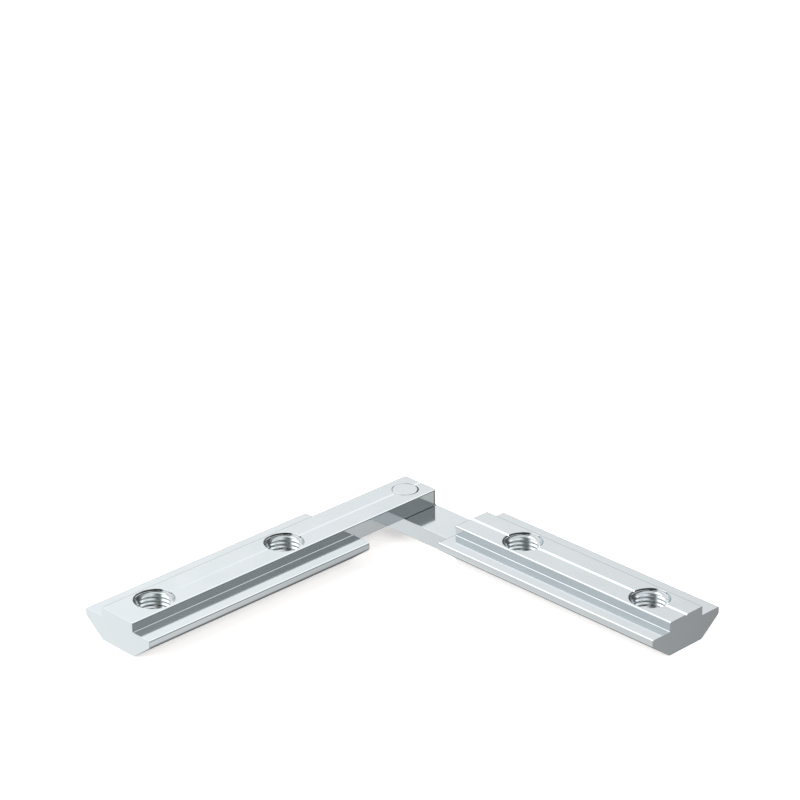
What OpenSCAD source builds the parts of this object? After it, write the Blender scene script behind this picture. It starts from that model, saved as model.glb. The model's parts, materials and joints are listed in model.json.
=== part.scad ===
// Hinged connector for two slotted profiles.
// Two legs of drawn slot bar are milled to half-height arms, lapped, and held by one flush rivet.
// The Z axis is the pivot, and the base of both legs lies in the plane z = 0.
// The upper leg runs along +X. The lower leg is turned from it by the angle between the legs.

/* [Bar section] */
// Width of the neck, which runs in the mouth of the slot
neck_w = 8; // [7:0.1:10]
// Height of the neck above the shoulders
neck_h = 1.7; // [1:0.1:2.5]
// Width over the flanges, which lie behind the lips of the slot
flange_w = 16.5; // [14:0.1:20]
// Height of the upright edge of each flange
flange_edge_h = 1.3; // [0.8:0.1:2]
// Height of the tapered foot, from the base to the flanges
foot_h = 3.2; // [2.4:0.1:4]
// Width of the flat base
base_w = 8.2; // [6:0.1:10]
// Cut taken off every long edge, and filled into every long inner corner
edge_cut = 0.15; // [0.05:0.05:0.3]
// Width of the centre line scribed along the neck
scribe_w = 0.5; // [0.2:0.1:1]
// Depth of the centre line
scribe_depth = 0.25; // [0.1:0.05:0.5]

/* [Legs] */
// Length of the full section of a leg
section_len = 49.5; // [45:0.5:120]
// Reach of an arm, from the pivot to the full section
arm_reach = 16.5; // [12:0.5:40]
// Overhang of an arm past the pivot
arm_overhang = 4; // [3.4:0.1:8]
// Gap between the lapped arms
lap_gap = 0.1; // [0.05:0.01:0.3]
// Angle between the legs at rest
leg_angle = 90; // [60:5:300]

/* [Threaded holes] */
// Diameter inside the thread
thread_bore_d = 5.2; // [3:0.1:5.8]
// Diameter of the chamfered mouth, at both ends of a hole
mouth_d = 7.1; // [6:0.1:7.6]
// Distance from the far end of a leg to its outer hole
hole_inset = 8; // [5:0.5:12]
// Distance between the two holes of a leg
hole_spacing = 29; // [12:0.5:32]

/* [Rivet] */
// Diameter of the shank
shank_d = 3.6; // [2.5:0.1:4.4]
// Diameter of the flush head
head_d = 4.8; // [4.6:0.1:6.4]
// Height of the head
head_h = 1.2; // [0.6:0.1:2]
// Diameter of the closed foot, spread into the lower arm
closed_d = 5; // [4.6:0.1:6.4]
// Height of the closed foot
closed_h = 0.9; // [0.5:0.1:1.6]
// Gap around the shank and the head, and under the head, in the arm that turns
running_gap = 0.06; // [0.02:0.01:0.09]
// Cut on the rim of the head and on the rim of its seat
rim_cut = 0.12; // [0.05:0.01:0.2]

/* [Hidden] */
$fn = 96;
zinc = [0.84, 0.87, 0.89];
// Heights of the section
shoulder_z = foot_h + flange_edge_h;
bar_h = shoulder_z + neck_h;
lap_z = bar_h / 2;
// Lengths of a leg
bar_len = arm_overhang + arm_reach + section_len;
far_hole_x = arm_reach + section_len - hole_inset;
// Height at which the head rests, and the depth of a hole's mouth at 45 degrees
head_z = bar_h - head_h;
mouth_h = (mouth_d - thread_bore_d) / 2;
// How far a cutter stands out of what it cuts
past = 1;

// Half of the section as sharp corners, from the middle of the base to the bottom of the centre line
half_corners = [
    [0, 0],
    [base_w / 2, 0],
    [flange_w / 2, foot_h],
    [flange_w / 2, shoulder_z],
    [neck_w / 2, shoulder_z],
    [neck_w / 2, bar_h],
    [scribe_w / 2, bar_h],
    [0, bar_h - scribe_depth]
];

// The point at a distance from a corner along the edge to its neighbour
function along_edge(corner, neighbour, distance) =
    corner + (neighbour - corner) * distance / norm(neighbour - corner);

// The half outline with its five outer corners cut, and the sharp scribed line left as it is
cut_half = [
    for (i = [1 : 5], to = [-1, 1])
        along_edge(half_corners[i], half_corners[i + to], edge_cut)
];

module bar_section() {
    right = concat(cut_half, [half_corners[6]]);
    left = [for (i = [len(right) - 1 : -1 : 0]) [-right[i].x, right[i].y]];
    polygon(concat(right, [half_corners[7]], left));
}

// A length of drawn bar that starts behind the pivot and runs along +X
module drawn_bar() {
    translate([-arm_overhang, 0, 0])
        rotate([90, 0, 90])
            linear_extrude(height = bar_len)
                bar_section();
}

// What the mill takes off the bar to leave an arm between two heights, flush with the neck's sides
module milled_off(arm_low, arm_high) {
    milled_len = arm_overhang + arm_reach;
    difference() {
        translate([-arm_overhang - past, -flange_w / 2 - past, -past])
            cube([milled_len + past, flange_w + 2 * past, bar_h + 2 * past]);
        translate([-arm_overhang - 2 * past, -neck_w / 2, arm_low])
            cube([milled_len + 3 * past, neck_w, arm_high - arm_low]);
    }
}

// A through hole at the inside of its thread, with both mouths chamfered at 45 degrees
module thread_cutter() {
    bore_r = thread_bore_d / 2;
    mouth_r = mouth_d / 2;
    rotate_extrude()
        polygon([
            [0, -past],
            [mouth_r + past, -past],
            [bore_r, mouth_h],
            [bore_r, bar_h - mouth_h],
            [mouth_r + past, bar_h + past],
            [0, bar_h + past]
        ]);
}

module thread_cutters() {
    for (x = [far_hole_x - hole_spacing, far_hole_x])
        translate([x, 0, 0])
            thread_cutter();
}

// Seat of the rivet in the arm that turns: a clear hole, and a pocket with a cut rim for the head
module head_seat_cutter() {
    hole_r = shank_d / 2 + running_gap;
    pocket_r = head_d / 2 + running_gap;
    pocket_z = head_z - running_gap;
    rotate_extrude()
        polygon([
            [0, -past],
            [hole_r, -past],
            [hole_r, pocket_z],
            [pocket_r, pocket_z],
            [pocket_r, bar_h - rim_cut],
            [pocket_r + rim_cut + past, bar_h + past],
            [0, bar_h + past]
        ]);
}

// Seat of the rivet in the fixed arm: a tight hole that opens into a cone for the closed foot
module closed_seat_cutter() {
    rotate_extrude()
        polygon([
            [0, -past],
            [closed_d / 2, -past],
            [closed_d / 2, 0],
            [shank_d / 2, closed_h],
            [shank_d / 2, bar_h],
            [0, bar_h]
        ]);
}

module upper_leg() {
    color(zinc)
        difference() {
            drawn_bar();
            milled_off(lap_z + lap_gap / 2, bar_h + 2 * past);
            thread_cutters();
            head_seat_cutter();
        }
}

module lower_leg() {
    color(zinc)
        rotate([0, 0, leg_angle])
            difference() {
                drawn_bar();
                milled_off(-2 * past, lap_z - lap_gap / 2);
                thread_cutters();
                closed_seat_cutter();
            }
}

module pivot_rivet() {
    color(zinc)
        rotate_extrude()
            polygon([
                [0, 0],
                [closed_d / 2, 0],
                [shank_d / 2, closed_h],
                [shank_d / 2, head_z],
                [head_d / 2, head_z],
                [head_d / 2, bar_h - rim_cut],
                [head_d / 2 - rim_cut, bar_h],
                [0, bar_h]
            ]);
}

lower_leg();
upper_leg();
pivot_rivet();
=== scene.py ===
import json
from math import cos, pi, radians, sin

import bpy
from mathutils import Euler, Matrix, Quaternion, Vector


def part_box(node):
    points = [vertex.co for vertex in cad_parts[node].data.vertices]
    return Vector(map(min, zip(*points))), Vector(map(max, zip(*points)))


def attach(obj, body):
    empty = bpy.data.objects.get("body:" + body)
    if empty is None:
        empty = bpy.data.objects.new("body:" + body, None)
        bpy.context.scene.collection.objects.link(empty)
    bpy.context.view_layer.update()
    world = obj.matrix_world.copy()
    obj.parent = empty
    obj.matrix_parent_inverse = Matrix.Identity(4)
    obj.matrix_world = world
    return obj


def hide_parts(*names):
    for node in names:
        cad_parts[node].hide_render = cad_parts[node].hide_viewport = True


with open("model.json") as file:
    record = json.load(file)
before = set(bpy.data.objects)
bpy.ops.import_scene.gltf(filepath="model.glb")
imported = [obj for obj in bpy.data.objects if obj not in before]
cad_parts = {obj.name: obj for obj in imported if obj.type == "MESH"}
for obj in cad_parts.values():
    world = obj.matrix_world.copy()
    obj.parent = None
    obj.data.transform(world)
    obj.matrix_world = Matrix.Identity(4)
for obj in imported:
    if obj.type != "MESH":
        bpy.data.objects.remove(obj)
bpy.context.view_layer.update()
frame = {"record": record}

# Lower leg
# One length of cold drawn slot bar, bright zinc plated, with two M6 threads.
# One end is milled to an arm of half the height, which lies under the other arm at the joint.

MM = 0.001
leg_low, leg_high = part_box("upper_leg")
arm_end = leg_low.x
far_end = leg_high.x
flange_w = leg_high.y - leg_low.y
bar_h = leg_high.z
foot_h = 3.2 * MM
flange_edge_h = 1.3 * MM
neck_w = 8 * MM
base_w = neck_w
section_start = 16.5 * MM
lap_gap = 0.1 * MM
edge_round = 0.25 * MM
corner_round = 0.75 * MM
inner_round = 0.1 * MM
crisp_round = 0.05 * MM
scribe_depth = 0.25 * MM
# How far a cutter stands out, how near counts as the same place, and how near points are joined
past = 1 * MM
near = 0.1 * MM
snap = 0.01 * MM
# Faces are picked by how much of their normal lies along an axis, and flat ones are joined
facing = 0.9
squarely_facing = 0.99
flat_limit = radians(0.5)
mounts = {m["name"]: m for m in frame["record"]["mounts"]}
hole_places = [mounts[name]["pos_m"][0] for name in ("upper_inner_thread", "upper_outer_thread")]


def start_piece(name):
    """Names the primitive just added, and puts its place and size into its mesh."""
    bpy.ops.object.transform_apply(location=True, rotation=True, scale=True)
    bpy.context.object.name = name
    return bpy.context.object


def pick(piece, faces=None, edges=None):
    """Goes into edit mode with the wanted faces or edges selected."""
    bpy.ops.object.mode_set(mode="EDIT")
    bpy.ops.mesh.select_mode(type="FACE" if faces else "EDGE")
    bpy.ops.mesh.select_all(action="DESELECT")
    bpy.ops.object.mode_set(mode="OBJECT")
    if faces:
        for face in piece.data.polygons:
            face.select = faces(face)
    if edges:
        for edge in piece.data.edges:
            edge.select = edges(*[piece.data.vertices[i].co for i in edge.vertices])
    bpy.ops.object.mode_set(mode="EDIT")


def draw_bar(name):
    """The full section: a tapered foot, upright flange edges, and the neck raised on top."""
    bpy.ops.object.select_all(action="DESELECT")
    bpy.ops.mesh.primitive_cube_add(
        size=1, location=((section_start + far_end) / 2, 0, foot_h / 2),
        scale=(far_end - section_start, base_w, foot_h))
    bar = start_piece(name)
    pick(bar, faces=lambda face: face.normal.z > facing)
    bpy.ops.transform.resize(value=(1, flange_w / base_w, 1), center_override=(0, 0, foot_h))
    bpy.ops.mesh.extrude_region_move(TRANSFORM_OT_translate={"value": (0, 0, flange_edge_h)})
    for side in (-1, 1):
        bpy.ops.object.mode_set(mode="OBJECT")
        pick(bar, faces=lambda face: face.normal.z > facing)
        bpy.ops.mesh.bisect(plane_co=(0, side * neck_w / 2, 0), plane_no=(0, 1, 0), threshold=snap)
    bpy.ops.object.mode_set(mode="OBJECT")
    pick(bar, faces=lambda face: face.normal.z > facing and abs(face.center.y) < neck_w / 4)
    bpy.ops.mesh.extrude_region_move(
        TRANSFORM_OT_translate={"value": (0, 0, bar_h - foot_h - flange_edge_h)})
    bpy.ops.object.mode_set(mode="OBJECT")
    return bar


def leave_arm(bar, arm_low, arm_high):
    """Marks the arm on the bar's inner end, and draws it out to its own end."""
    cuts = [((0, -neck_w / 2, 0), (0, 1, 0)), ((0, neck_w / 2, 0), (0, 1, 0))]
    cuts += [((0, 0, z), (0, 0, 1)) for z in (arm_low, arm_high) if 0 < z < bar_h]
    for place, normal in cuts:
        pick(bar, faces=lambda face: face.normal.x < -facing)
        bpy.ops.mesh.bisect(plane_co=place, plane_no=normal, threshold=snap)
        bpy.ops.object.mode_set(mode="OBJECT")
    pick(bar, faces=lambda face: (
        face.normal.x < -facing and abs(face.center.y) < neck_w / 2
        and arm_low < face.center.z < arm_high))
    bpy.ops.mesh.extrude_region_move(
        TRANSFORM_OT_translate={"value": (arm_end - section_start, 0, 0)})
    bpy.ops.mesh.select_all(action="SELECT")
    bpy.ops.mesh.dissolve_limited(angle_limit=flat_limit)
    bpy.ops.object.mode_set(mode="OBJECT")


def round_edges(bar, lap_z):
    """Rounds each edge: widest on the arm's upright corners, small in the inner corners beside
    the neck, and crisp where the mill or the saw has cut."""

    def radius(one, other):
        low, high = sorted((one.z, other.z))
        left, right = sorted((one.x, other.x))
        at_lap = right < section_start + near and abs(low - lap_z) + abs(high - lap_z) < near
        if at_lap or left > far_end - near:
            return crisp_round
        if right < arm_end + near and high - low > past:
            return corner_round
        in_corner = abs(abs(one.y) - neck_w / 2) < near and abs(low - foot_h - flange_edge_h) < near
        return inner_round if in_corner and high - low < near else edge_round

    for width in (crisp_round, inner_round, edge_round, corner_round):
        pick(bar, edges=lambda one, other: radius(one, other) == width)
        bpy.ops.transform.edge_bevelweight(value=width / corner_round)
        bpy.ops.object.mode_set(mode="OBJECT")
    finish_with(bar, "BEVEL", width=corner_round, segments=4, limit_method="WEIGHT")


def make_active(piece):
    bpy.ops.object.select_all(action="DESELECT")
    piece.select_set(True)
    bpy.context.view_layer.objects.active = piece


def finish_with(piece, kind, **settings):
    """Adds one modifier and applies it."""
    make_active(piece)
    modifier = piece.modifiers.new(kind.lower(), kind)
    for name, value in settings.items():
        setattr(modifier, name, value)
    bpy.ops.object.modifier_apply(modifier=modifier.name)


def cut(piece, cutter, x=0):
    """Takes the cutter, moved along the bar, out of the piece, and throws the cutter away."""
    cutter.location.x = x
    finish_with(piece, "BOOLEAN", operation="DIFFERENCE", solver="EXACT", object=cutter)
    bpy.data.objects.remove(cutter)


def scribe_line(bar):
    """The V line scribed along the middle of the neck: a square prism sunk on its corner."""
    bpy.ops.object.select_all(action="DESELECT")
    bpy.ops.mesh.primitive_cylinder_add(
        vertices=4, radius=scribe_depth, depth=far_end - arm_end + 2 * past,
        location=((far_end + arm_end) / 2, 0, bar_h), rotation=(0, pi / 2, 0))
    cut(bar, start_piece("scriber"))


round_sides = 128


def turned(name, outline):
    """A turned solid about Z, from (radius, height) pairs that run from its foot to its top."""
    radius, height = outline[0]
    bpy.ops.object.select_all(action="DESELECT")
    bpy.ops.mesh.primitive_circle_add(
        vertices=round_sides, radius=radius, fill_type="NGON", location=(0, 0, height),
        rotation=(0, 0, pi / round_sides))
    piece = start_piece(name)
    bpy.ops.object.mode_set(mode="EDIT")
    bpy.ops.mesh.select_all(action="SELECT")
    for next_radius, next_height in outline[1:]:
        bpy.ops.mesh.extrude_region_move(
            TRANSFORM_OT_translate={"value": (0, 0, next_height - height)})
        bpy.ops.transform.resize(
            value=(next_radius / radius, next_radius / radius, 1),
            center_override=(0, 0, next_height))
        radius, height = next_radius, next_height
    bpy.ops.mesh.select_all(action="SELECT")
    bpy.ops.mesh.normals_make_consistent(inside=False)
    bpy.ops.object.mode_set(mode="OBJECT")
    return piece


# The thread is drawn wider and shallower than a real M6 one, whose rings would be too fine to show.
# Of its flats the crest takes a share.
thread_pitch = 0.75 * MM
crest_r = 2.86 * MM
root_r = 3.14 * MM
crest_share = 0.6
thread_start = radians(302)
turn_steps = 96
# The mouth: its steep wall leans in by a share of its height, down to a small step and a lead-in
mouth_r = 3.52 * MM
mouth_h = 0.32 * MM
rim_break = 0.03 * MM
wall_lean = 0.36
step_w = rim_break * 1.5
lead_z = mouth_h * 1.5
lead_lean = 0.45
cone_rise = 1.12


def thread_tap():
    """A solid screw of the thread's form, longer than the hole: a 90 degree tooth, turned upwards."""
    flank_h = root_r - crest_r
    crest_h = (thread_pitch - 2 * flank_h) * crest_share
    bottom = -2 * thread_pitch
    tooth = [(crest_r, bottom), (crest_r, bottom + crest_h), (root_r, bottom + crest_h + flank_h),
             (root_r, bottom + thread_pitch - flank_h), (crest_r, bottom + thread_pitch)]
    bpy.ops.object.select_all(action="DESELECT")
    bpy.ops.mesh.primitive_plane_add(size=MM, location=(0, 0, 0))
    tap = start_piece("tap")
    bpy.ops.object.mode_set(mode="EDIT")
    bpy.ops.mesh.select_mode(type="VERT")
    bpy.ops.mesh.select_all(action="SELECT")
    bpy.ops.mesh.merge(type="CENTER")
    bpy.ops.transform.translate(value=(tooth[0][0], 0, tooth[0][1]))
    for (radius, height), (next_radius, next_height) in zip(tooth, tooth[1:]):
        bpy.ops.mesh.extrude_region_move(
            TRANSFORM_OT_translate={"value": (next_radius - radius, 0, next_height - height)})
    bpy.ops.object.mode_set(mode="OBJECT")
    finish_with(
        tap, "SCREW", axis="Z", angle=2 * pi, screw_offset=thread_pitch, steps=turn_steps,
        render_steps=turn_steps, iterations=round(bar_h / thread_pitch) + 4,
        use_merge_vertices=True, merge_threshold=snap / 10)
    bpy.ops.object.mode_set(mode="EDIT")
    bpy.ops.mesh.select_all(action="SELECT")
    bpy.ops.mesh.remove_doubles(threshold=snap / 10)
    for height, up in ((bar_h + thread_pitch / 2, 1), (-thread_pitch / 2, -1)):
        bpy.ops.mesh.select_all(action="SELECT")
        bpy.ops.mesh.bisect(
            plane_co=(0, 0, height), plane_no=(0, 0, up), use_fill=True, clear_outer=True,
            threshold=0)
    bpy.ops.mesh.select_all(action="SELECT")
    bpy.ops.mesh.normals_make_consistent(inside=False)
    bpy.ops.object.mode_set(mode="OBJECT")
    tap.rotation_euler.z = thread_start
    return tap


def tap_holes(bar):
    """Opens both mouths of each hole, rim, wall, step and lead-in, and then cuts the thread."""
    step_r = mouth_r - (mouth_h - rim_break) * wall_lean
    lead_r = step_r - step_w - mouth_h * wall_lean * lead_lean
    cone_r = crest_r - past / 4
    sink = [(mouth_r + rim_break + past, -past), (mouth_r, rim_break), (step_r, mouth_h),
            (step_r - step_w, mouth_h + rim_break), (lead_r, lead_z),
            (cone_r, lead_z + (lead_r - cone_r) * cone_rise)]
    for x in hole_places:
        cut(bar, turned("lower_mouth", sink), x)
        cut(bar, turned("upper_mouth", [(r, bar_h - z) for r, z in reversed(sink)]), x)
        cut(bar, thread_tap(), x)


# Faces that meet at more than this stay sharp, such as the wall and the step of a mouth
smooth_limit = radians(24)


def smooth_faces(piece):
    """Rounds look round and flats stay flat: normals follow the larger faces."""
    make_active(piece)
    bpy.ops.object.shade_smooth_by_angle(angle=smooth_limit)
    finish_with(piece, "WEIGHTED_NORMAL", mode="FACE_AREA", weight=50, keep_sharp=True)


def linear(hex_colour):
    """An sRGB hex value as the linear colour that a shader takes."""
    parts = [int(hex_colour[i:i + 2], 16) / 255 for i in (1, 3, 5)]
    return [c / 12.92 if c <= 0.04045 else ((c + 0.055) / 1.055) ** 2.4 for c in parts] + [1]


def add_node(tree, kind, settings=None, **inputs):
    """Adds a node, sets it, and sets or links its inputs by name or number."""
    node = tree.nodes.new(kind)
    for name, value in (settings or {}).items():
        setattr(node, name, value)
    for name, value in inputs.items():
        key = int(name[1:]) if name[1:].isdigit() else name.replace("_", " ")
        if isinstance(value, bpy.types.NodeSocket):
            tree.links.new(value, node.inputs[key])
        else:
            node.inputs[key].default_value = value
    return node


def new_material(name):
    """An empty material and its node tree."""
    material = bpy.data.materials.new(name)
    material.use_nodes = True
    material.node_tree.nodes.clear()
    return material, material.node_tree


# Bright bluish zinc plating on cold drawn steel: nearly a mirror, faintly lined along the bar.
# Real drawing lines lie some 0.05 mm apart, too fine to show here, so they are drawn 0.3 mm apart.
ZINC_LIGHT = "#E6ECEF"
ZINC_DULL = "#DCE3E6"
cloud_size = 6 * MM
gloss_spread = 0.2
line_stretch = 40
drawn_gap, drawn_depth, drawn_roughness = 0.3 * MM, 0.00012 * MM, 0.11
# The sawn ends are plated too, but duller, with finer and deeper lines across them.
sawn_gap, sawn_depth, sawn_roughness = 0.2 * MM, 0.0005 * MM, 0.2


def zinc_plating(name, line_angle, line_gap, roughness, depth):
    """Zinc plating over lines left by the tool: their direction, spacing, gloss and depth."""
    material, tree = new_material(name)
    where = add_node(tree, "ShaderNodeTexCoord").outputs["Object"]
    along = add_node(
        tree, "ShaderNodeMapping", {"vector_type": "TEXTURE"}, Vector=where,
        Rotation=(0, 0, line_angle), Scale=(line_stretch, 1, 1))
    lines = add_node(
        tree, "ShaderNodeTexNoise", None, Vector=along.outputs["Vector"],
        Scale=1 / line_gap, Detail=3, Roughness=0.6)
    cloud = add_node(
        tree, "ShaderNodeTexNoise", None, Vector=where, Scale=1 / cloud_size, Detail=4,
        Roughness=0.55)
    tint = add_node(
        tree, "ShaderNodeMix", {"data_type": "RGBA"}, Factor=cloud.outputs["Fac"],
        i6=linear(ZINC_DULL), i7=linear(ZINC_LIGHT))
    gloss = add_node(
        tree, "ShaderNodeMapRange", None, Value=cloud.outputs["Fac"],
        To_Min=roughness * (1 - gloss_spread), To_Max=roughness * (1 + gloss_spread))
    bump = add_node(
        tree, "ShaderNodeBump", None, Height=lines.outputs["Fac"], Strength=1, Distance=depth)
    metal = add_node(
        tree, "ShaderNodeBsdfPrincipled", None, Metallic=1, Base_Color=tint.outputs[2],
        Roughness=gloss.outputs["Result"], Normal=bump.outputs["Normal"])
    add_node(tree, "ShaderNodeOutputMaterial", None, Surface=metal.outputs["BSDF"])
    return material


def finish_leg(leg, drawn, sawn):
    """The bar's own finish all over, and the sawn one on its far end."""
    leg.data.materials.append(drawn)
    leg.data.materials.append(sawn)
    make_active(leg)
    pick(leg, faces=lambda face: face.normal.x > squarely_facing and face.center.x > far_end - near)
    leg.active_material_index = 1
    bpy.ops.object.material_slot_assign()
    bpy.ops.object.mode_set(mode="OBJECT")


lower_arm_top = bar_h / 2 - lap_gap / 2
lower_leg = draw_bar("lower_leg_bar")
leave_arm(lower_leg, 0, lower_arm_top)
round_edges(lower_leg, lower_arm_top)
shank_r = 1.8 * MM
closed_r = 2.5 * MM
closed_h = 0.9 * MM
cut(lower_leg, turned("closed_seat", [
    (closed_r + past * (closed_r - shank_r) / closed_h, -past), (shank_r, closed_h),
    (shank_r, bar_h)]))
tap_holes(lower_leg)
scribe_line(lower_leg)
finish_leg(
    lower_leg,
    zinc_plating("zinc_on_lower_bar", pi / 2, drawn_gap, drawn_roughness, drawn_depth),
    zinc_plating("zinc_on_lower_saw_cut", 0, sawn_gap, sawn_roughness, sawn_depth))
lower_leg.rotation_euler.z = pi / 2
bpy.ops.object.transform_apply(location=True, rotation=True, scale=True)
smooth_faces(lower_leg)
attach(lower_leg, "lower")
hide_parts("lower_leg")

# Upper leg
# The same drawn bar, milled from below, so that its arm lies on top of the other one.
# A pocket in the arm takes the head of the rivet, and turns on it.

head_r = 2.28 * MM
head_h = 1.2 * MM
running_gap = 0.11 * MM
rim_cut = 0.03 * MM
head_round = 0.1 * MM
seat_shift = 0.09 * MM
upper_arm_foot = bar_h / 2 + lap_gap / 2
upper_leg = draw_bar("upper_leg_bar")
leave_arm(upper_leg, upper_arm_foot, bar_h)
round_edges(upper_leg, upper_arm_foot)
pocket_r = head_r + running_gap
pocket_z = bar_h - head_h - running_gap
head_seat = turned("head_seat", [
    (shank_r + running_gap, 0), (shank_r + running_gap, pocket_z), (pocket_r, pocket_z),
    (pocket_r, bar_h - rim_cut), (pocket_r + rim_cut + past, bar_h + past)])
head_seat.location.y = seat_shift
cut(upper_leg, head_seat)
tap_holes(upper_leg)
scribe_line(upper_leg)
finish_leg(
    upper_leg,
    zinc_plating("zinc_on_upper_bar", 0, drawn_gap, drawn_roughness, drawn_depth),
    zinc_plating("zinc_on_upper_saw_cut", pi / 2, sawn_gap, sawn_roughness, sawn_depth))
smooth_faces(upper_leg)
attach(upper_leg, "upper")
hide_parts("upper_leg")

# Pivot rivet
# A turned steel pin with a flat head, zinc plated with the legs.
# Its foot is spread into a cone in the lower arm, and both ends are flush.
# The head was faced before plating, so it is a little glossier than the bar.

faced_roughness, faced_depth = 0.08, 0.0002 * MM
rivet = turned("rivet_pin", [
    (closed_r - head_round / 2, 0), (closed_r - head_round, head_round / 2), (shank_r, closed_h),
    (shank_r, bar_h - head_h), (head_r, bar_h - head_h), (head_r, bar_h - head_round)] + [
    (head_r - head_round * (1 - cos(radians(a))), bar_h - head_round * (1 - sin(radians(a))))
    for a in range(18, 91, 18)])
rivet.data.materials.append(
    zinc_plating("zinc_on_rivet", 0, drawn_gap, faced_roughness, faced_depth))
smooth_faces(rivet)
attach(rivet, "lower")
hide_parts("pivot_rivet")

# Floor
# A pale matt ground, which lights the part as such. The camera alone sees it lifted to white,
# with the part's soft shadow on it. Reflections pass through it to the room, as with a part
# shot on an open table.

GROUND = "#E6E6E6"
lifted_ground = (1.24, 1.21, 1.19, 1)
ground_glow = (1, 0.98, 0.965, 1)
glow_strength = 0.38
bpy.ops.object.select_all(action="DESELECT")
bpy.ops.mesh.primitive_plane_add(size=6, location=(0, 0, 0))
floor = start_piece("floor")
paper, paper_tree = new_material("white_ground")
rays = add_node(paper_tree, "ShaderNodeLightPath")
matt = add_node(paper_tree, "ShaderNodeBsdfDiffuse", None, Color=linear(GROUND))
lifted = add_node(paper_tree, "ShaderNodeBsdfDiffuse", None, Color=lifted_ground)
glow = add_node(paper_tree, "ShaderNodeEmission", None, Color=ground_glow, Strength=glow_strength)
bright = add_node(
    paper_tree, "ShaderNodeAddShader", None, i0=lifted.outputs[0], i1=glow.outputs[0])
seen = add_node(
    paper_tree, "ShaderNodeMixShader", None, Fac=rays.outputs["Is Camera Ray"],
    i1=matt.outputs[0], i2=bright.outputs[0])
clear = add_node(paper_tree, "ShaderNodeBsdfTransparent")
both = add_node(
    paper_tree, "ShaderNodeMixShader", None, Fac=rays.outputs["Is Glossy Ray"],
    i1=seen.outputs[0], i2=clear.outputs[0])
add_node(paper_tree, "ShaderNodeOutputMaterial", None, Surface=both.outputs[0])
floor.data.materials.append(paper)

# Studio
# A soft room for the metal to mirror, and a plain dome and two soft side windows for the rest.
# Each ring gives the room's brightness by the compass, in degrees from straight behind the part,
# at one height, from below the part to the zenith.

camera_turn = radians(136.12)
camera_tilt = radians(24.42)
rings = {
    "below": [
        (-180, 0.6), (-171, 0.5), (-164, 0.05), (-142, 0.05), (-125, 0.7), (-92, 0.72),
        (-88, 0.8), (-81, 1.1), (-60, 0.95), (-30, 0.6), (0, 0.12), (20, 0.03), (76, 0.03),
        (82, 0.2), (86, 0.4), (93, 0.55), (98, 0.78), (130, 0.1), (164, 0.05), (171, 0.5),
        (180, 0.6)],
    "horizon": [
        (-180, 0.02), (-142, 0.04), (-130, 0.8), (-60, 0.9), (-30, 0.6), (-12, 0.25),
        (30, 0.1), (130, 0.06), (180, 0.02)],
    "walls": [
        (-180, 0.03), (-145, 0.05), (-128, 0.85), (-95, 0.7), (-88, 0.77), (-70, 0.95),
        (-40, 1.07), (-6, 1.04), (0, 0.95), (6, 0.87), (20, 0.6), (35, 0.15), (50, 0.07),
        (70, 0.15), (92, 0.26), (98, 0.36), (130, 0.1), (180, 0.03)],
    "ceiling": [
        (-180, 0.8), (-148, 0.7), (-130, 1.4), (-76, 1.9), (-48, 1.9), (-10, 1.6), (10, 1.4),
        (40, 1.2), (79, 1.2), (105, 0.8), (180, 0.8)],
    "zenith": [
        (-180, 0.35), (-165, 0.22), (-150, 0.17), (-136, 0.2), (-120, 0.45), (-100, 1.0),
        (100, 1.0), (150, 0.9), (165, 0.7), (175, 0.5), (180, 0.35)],
}
# The heights between which each ring takes over from the one under it, as the sine of the climb
ring_heights = {
    "below": (-0.9, -0.6), "horizon": (-0.35, -0.05), "walls": (0.28, 0.42),
    "ceiling": (0.5, 0.6), "zenith": (0.78, 0.84),
}
nadir_grey = (0.3, 0.3, 0.3, 1)
dome_grey = (0.32, 0.32, 0.32, 1)
white = (1, 1, 1, 1)
world = bpy.data.worlds.new("soft_room")
bpy.context.scene.world = world
world.use_nodes = True
room = world.node_tree
room.nodes.clear()
toward = add_node(room, "ShaderNodeTexCoord").outputs["Generated"]
height = add_node(room, "ShaderNodeSeparateXYZ", None, Vector=toward).outputs["Z"]
turned_room = add_node(
    room, "ShaderNodeVectorRotate", {"rotation_type": "Z_AXIS"}, Vector=toward,
    Angle=-camera_turn - pi / 2)
compass = add_node(
    room, "ShaderNodeTexGradient", {"gradient_type": "RADIAL"},
    Vector=turned_room.outputs["Vector"])
light = {}
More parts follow.
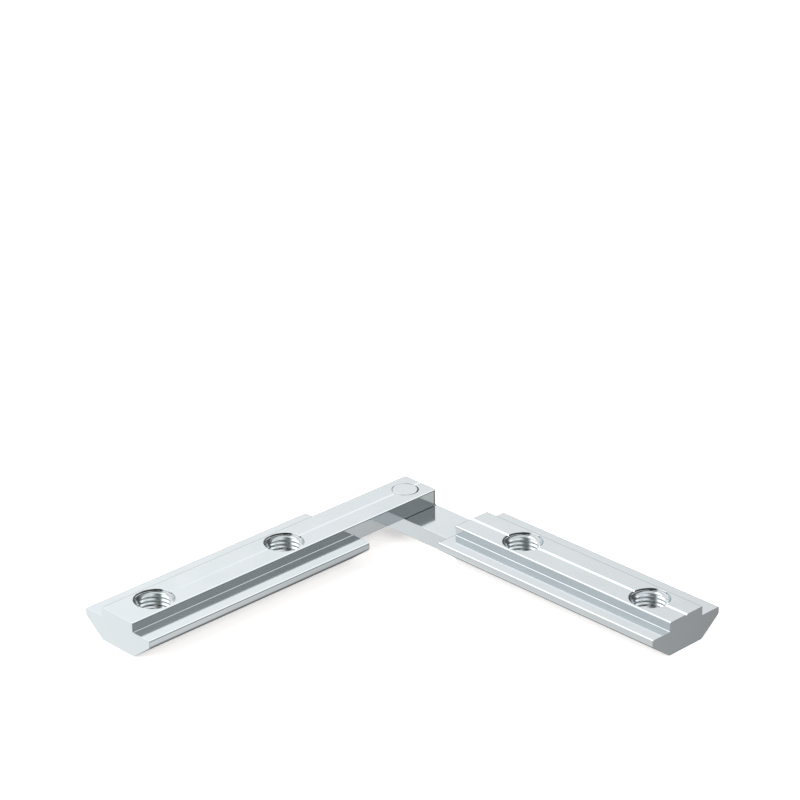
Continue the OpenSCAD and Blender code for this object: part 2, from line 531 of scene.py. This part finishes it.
for name, stops in rings.items():
    ring = add_node(room, "ShaderNodeValToRGB", None, Fac=compass.outputs["Fac"])
    for degrees, value in stops[1:-1]:
        ring.color_ramp.elements.new(0.5 - degrees / 360).color = (value, value, value, 1)
    for stop, (degrees, value) in ((0, stops[-1]), (-1, stops[0])):
        ring.color_ramp.elements[stop].color = (value, value, value, 1)
    light[name] = ring.outputs["Color"]
sky = nadir_grey
for name, (low, high) in ring_heights.items():
    share = add_node(
        room, "ShaderNodeMapRange", {"interpolation_type": "SMOOTHSTEP"}, Value=height,
        From_Min=low, From_Max=high)
    sky = add_node(
        room, "ShaderNodeMix", {"data_type": "RGBA"}, Factor=share.outputs["Result"],
        i6=sky, i7=light[name]).outputs[2]
rays = add_node(room, "ShaderNodeLightPath")
plain = add_node(
    room, "ShaderNodeMix", {"data_type": "RGBA"}, Factor=rays.outputs["Is Camera Ray"],
    i6=dome_grey, i7=white)
shown = add_node(
    room, "ShaderNodeMix", {"data_type": "RGBA"}, Factor=rays.outputs["Is Glossy Ray"],
    i6=plain.outputs[2], i7=sky)
lamp = add_node(room, "ShaderNodeBackground", None, Color=shown.outputs[2], Strength=1)
add_node(room, "ShaderNodeOutputWorld", None, Surface=lamp.outputs["Background"])

# The windows: how far each is from overhead, its compass direction and its width, in degrees
window_energy = 2.26
for from_overhead, direction, width in ((56, -24, 50), (66, 126, 44)):
    bpy.ops.object.light_add(type="SUN", rotation=(0, radians(from_overhead), radians(direction)))
    window = bpy.context.object
    window.data.angle = radians(width)
    window.data.energy = window_energy
    window.visible_glossy = False

# Camera
# It stands about half a metre off, in front of the open side of the angle, and looks down on it
# through a long lens. It is rolled by a hair, as the one that took the photograph.

camera_place = (0.32996, 0.34211, 0.23943)
camera_roll = radians(-0.636)
bpy.ops.object.camera_add(location=camera_place)
camera = bpy.context.object
level = Euler((pi / 2 - camera_tilt, 0, camera_turn)).to_quaternion()
camera.rotation_mode = "QUATERNION"
camera.rotation_quaternion = level @ Quaternion((0, 0, 1), camera_roll)
camera.data.lens = 133.8
camera.data.clip_start, camera.data.clip_end = 0.01, 20
bpy.context.scene.camera = camera
bpy.context.scene.view_settings.view_transform = "Standard"
